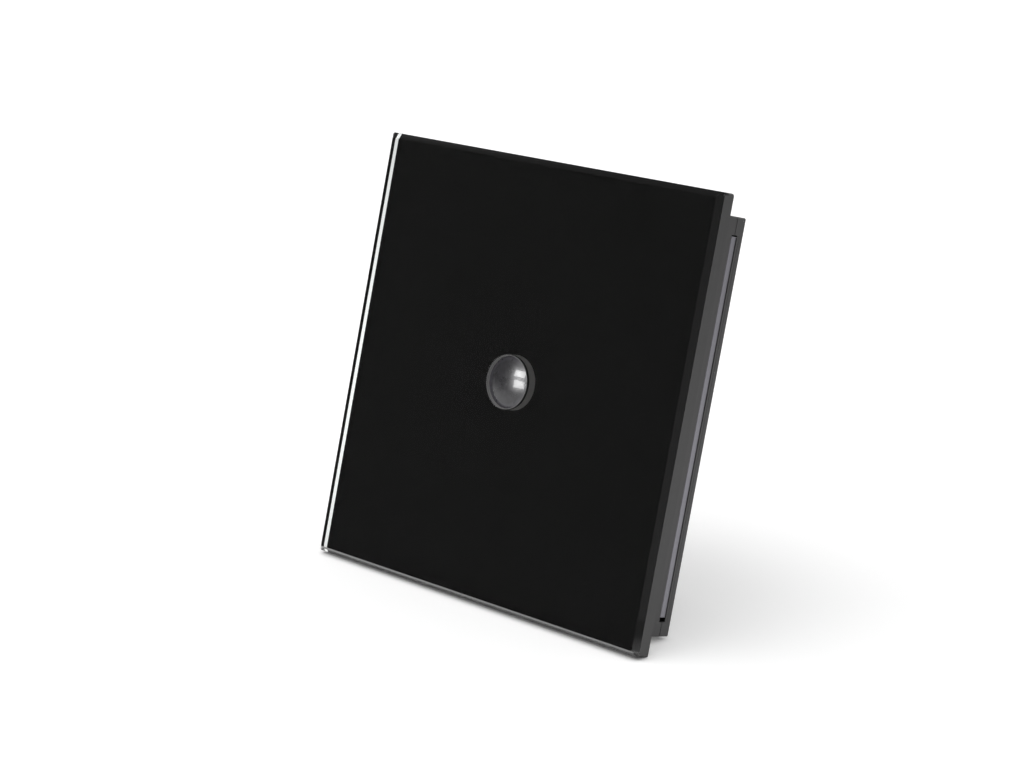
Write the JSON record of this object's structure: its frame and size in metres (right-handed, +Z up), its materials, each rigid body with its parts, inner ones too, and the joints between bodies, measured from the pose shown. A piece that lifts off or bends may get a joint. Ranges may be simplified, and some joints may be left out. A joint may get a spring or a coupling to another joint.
{
  "type": "motion sensor switch",
  "caption": "Flush wall switch with a domed infrared motion sensor lens in a square black glass panel over a plastic frame, steel bridge and in-wall module.",
  "frame": {"origin": "centre of the wall-side face, on the lens axis and on the wall's plane", "axes": "+Y into the wall, -Y towards the room, +Z up, +X to the right seen from the room"},
  "size_m": [0.08, 0.0303, 0.08],
  "materials": {
    "clear_glass": "polished float glass with ground edges",
    "black_print": "black screen print",
    "black_foam": "black foam tape",
    "frame_plastic": "fine-grained dark grey moulding",
    "cover_plastic": "fine-grained black moulding",
    "housing_plastic": "flame-retardant black moulding",
    "block_plastic": "dark grey moulding",
    "zinc_steel": "zinc plated",
    "spring_steel": "bright spring steel",
    "screw_steel": "zinc plated",
    "clamp_steel": "zinc plated",
    "contact_brass": "stamped brass",
    "lens_plastic": "glossy smoke-grey polyethylene",
    "can_metal": "nickel plated",
    "infrared_filter": "dark silicon filter",
    "circuit_board": "green solder mask",
    "chip_black": "black epoxy",
    "trimmer_blue": "blue moulding",
    "rotor_white": "white nylon",
    "relay_case": "black case",
    "capacitor_yellow": "yellow case",
    "capacitor_sleeve": "dark shrink sleeve",
    "varistor_blue": "blue epoxy dip",
    "resistor_body": "cement coating"
  },
  "bodies": {
    "module": {"base_frame": "frame_plastic", "steel_bridge": "zinc_steel", "retaining_springs": "spring_steel", "front_cover": "cover_plastic", "cover_screws": "screw_steel", "lens": "lens_plastic", "sensor_sleeve": "cover_plastic", "pir_can": "can_metal", "pir_window": "infrared_filter", "pir_header": "can_metal", "sensor_board": "circuit_board", "power_board": "circuit_board", "module_housing": "housing_plastic", "control_chip": "chip_black", "delay_trimmer": "trimmer_blue", "lux_trimmer": "trimmer_blue", "board_link": "chip_black", "relay": "relay_case", "film_capacitor": "capacitor_yellow", "light_sensor": "chip_black", "bridge_rectifier": "chip_black", "smoothing_capacitor": "capacitor_sleeve", "varistor": "varistor_blue", "fuse_resistor": "resistor_body", "terminal_block": "block_plastic", "contact_bars": "contact_brass"},
    "panel": {"glass_panel": "clear_glass", "back_print": "black_print", "adhesive_pad": "black_foam", "panel_frame": "frame_plastic"},
    "delay_rotor": {"delay_rotor": "rotor_white"},
    "lux_rotor": {"lux_rotor": "rotor_white"},
    "line_screw": {"line_screw": "screw_steel"},
    "line_clamp": {"line_clamp": "clamp_steel"},
    "neutral_screw": {"neutral_screw": "screw_steel"},
    "neutral_clamp": {"neutral_clamp": "clamp_steel"},
    "load_screw": {"load_screw": "screw_steel"},
    "load_clamp": {"load_clamp": "clamp_steel"}
  },
  "joints": [
    {"name": "panel_pull", "type": "slide", "parent": "module", "child": "panel", "axis": [0, -1, 0], "range_m": [0, 0.015]},
    {"name": "delay_adjust", "type": "hinge", "parent": "module", "child": "delay_rotor", "pos_m": [-0.011, 0, -0.014], "axis": [0, -1, 0], "range_deg": [-135, 135]},
    {"name": "lux_adjust", "type": "hinge", "parent": "module", "child": "lux_rotor", "pos_m": [0.011, 0, -0.014], "axis": [0, -1, 0], "range_deg": [-135, 135]},
    {"name": "line_screw_turn", "type": "hinge", "parent": "module", "child": "line_screw", "pos_m": [-0.0076, 0.0155, -0.0177], "axis": [0, -1, 0], "range_deg": [0, 2016.5]},
    {"name": "line_clamp_rise", "type": "slide", "parent": "module", "child": "line_clamp", "axis": [0, 1, 0], "range_m": [0, 0.0028]},
    {"name": "neutral_screw_turn", "type": "hinge", "parent": "module", "child": "neutral_screw", "pos_m": [0, 0.0155, -0.0177], "axis": [0, -1, 0], "range_deg": [0, 2016.5]},
    {"name": "neutral_clamp_rise", "type": "slide", "parent": "module", "child": "neutral_clamp", "axis": [0, 1, 0], "range_m": [0, 0.0028]},
    {"name": "load_screw_turn", "type": "hinge", "parent": "module", "child": "load_screw", "pos_m": [0.0076, 0.0155, -0.0177], "axis": [0, -1, 0], "range_deg": [0, 2016.5]},
    {"name": "load_clamp_rise", "type": "slide", "parent": "module", "child": "load_clamp", "axis": [0, 1, 0], "range_m": [0, 0.0028]}
  ],
  "couplings": [
    {"joint": "line_screw_turn", "follows": "line_clamp_rise", "rad_per_m": 12566},
    {"joint": "neutral_screw_turn", "follows": "neutral_clamp_rise", "rad_per_m": 12566},
    {"joint": "load_screw_turn", "follows": "load_clamp_rise", "rad_per_m": 12566}
  ]
}
